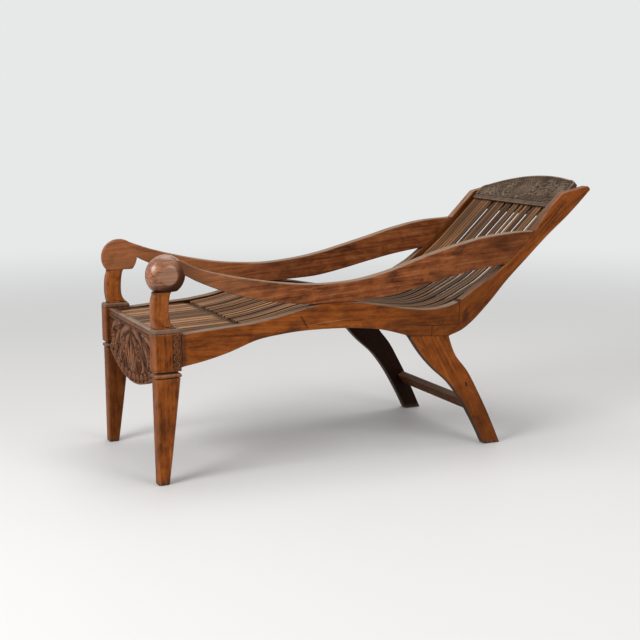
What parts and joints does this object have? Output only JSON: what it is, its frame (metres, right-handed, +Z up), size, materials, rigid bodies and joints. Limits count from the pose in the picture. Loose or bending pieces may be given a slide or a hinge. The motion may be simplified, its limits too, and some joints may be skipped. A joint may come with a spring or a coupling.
{
  "type": "planters chair",
  "caption": "Long reclining wooden lounge chair with a swept slatted seat and back, low curved arms with ball ends, a carved apron and a carved crest.",
  "frame": {"origin": "on the floor, under the middle of the chair's width and length", "axes": "+Z up, the chair faces -Y, +X to the sitter's left"},
  "size_m": [0.631, 1.609, 0.9076],
  "materials": {
    "frame_wood": "waxed orange-brown teak, worn pale on the upper edges",
    "slat_wood": "weathered grey-brown teak, half matt",
    "carved_wood": "dusty dark teak, carved"
  },
  "bodies": {
    "root": {"front_leg_left": "frame_wood", "arm_post_left": "frame_wood", "arm_left": "frame_wood", "seat_rail_left": "frame_wood", "back_stile_left": "frame_wood", "rear_leg_left": "frame_wood", "front_leg_right": "frame_wood", "arm_post_right": "frame_wood", "arm_right": "frame_wood", "seat_rail_right": "frame_wood", "back_stile_right": "frame_wood", "rear_leg_right": "frame_wood", "rear_stretcher": "frame_wood", "front_apron": "carved_wood", "crest_panel": "carved_wood", "front_cross_rail": "slat_wood", "middle_cross_rail": "slat_wood", "rear_cross_rail": "slat_wood", "top_cross_rail": "slat_wood", "front_slat_01": "slat_wood", "front_slat_02": "slat_wood", "front_slat_03": "slat_wood", "front_slat_04": "slat_wood", "front_slat_05": "slat_wood", "front_slat_06": "slat_wood", "front_slat_07": "slat_wood", "front_slat_08": "slat_wood", "front_slat_09": "slat_wood", "front_slat_10": "slat_wood", "front_slat_11": "slat_wood", "front_slat_12": "slat_wood", "front_slat_13": "slat_wood", "front_slat_14": "slat_wood", "front_slat_15": "slat_wood", "front_slat_16": "slat_wood", "main_slat_01": "slat_wood", "main_slat_02": "slat_wood", "main_slat_03": "slat_wood", "main_slat_04": "slat_wood", "main_slat_05": "slat_wood", "main_slat_06": "slat_wood", "main_slat_07": "slat_wood", "main_slat_08": "slat_wood", "main_slat_09": "slat_wood", "main_slat_10": "slat_wood", "main_slat_11": "slat_wood", "main_slat_12": "slat_wood", "main_slat_13": "slat_wood", "main_slat_14": "slat_wood", "main_slat_15": "slat_wood", "main_slat_16": "slat_wood", "main_slat_17": "slat_wood", "main_slat_18": "slat_wood", "main_slat_19": "slat_wood", "main_slat_20": "slat_wood", "main_slat_21": "slat_wood", "main_slat_22": "slat_wood", "main_slat_23": "slat_wood", "main_slat_24": "slat_wood"}
  },
  "joints": []
}
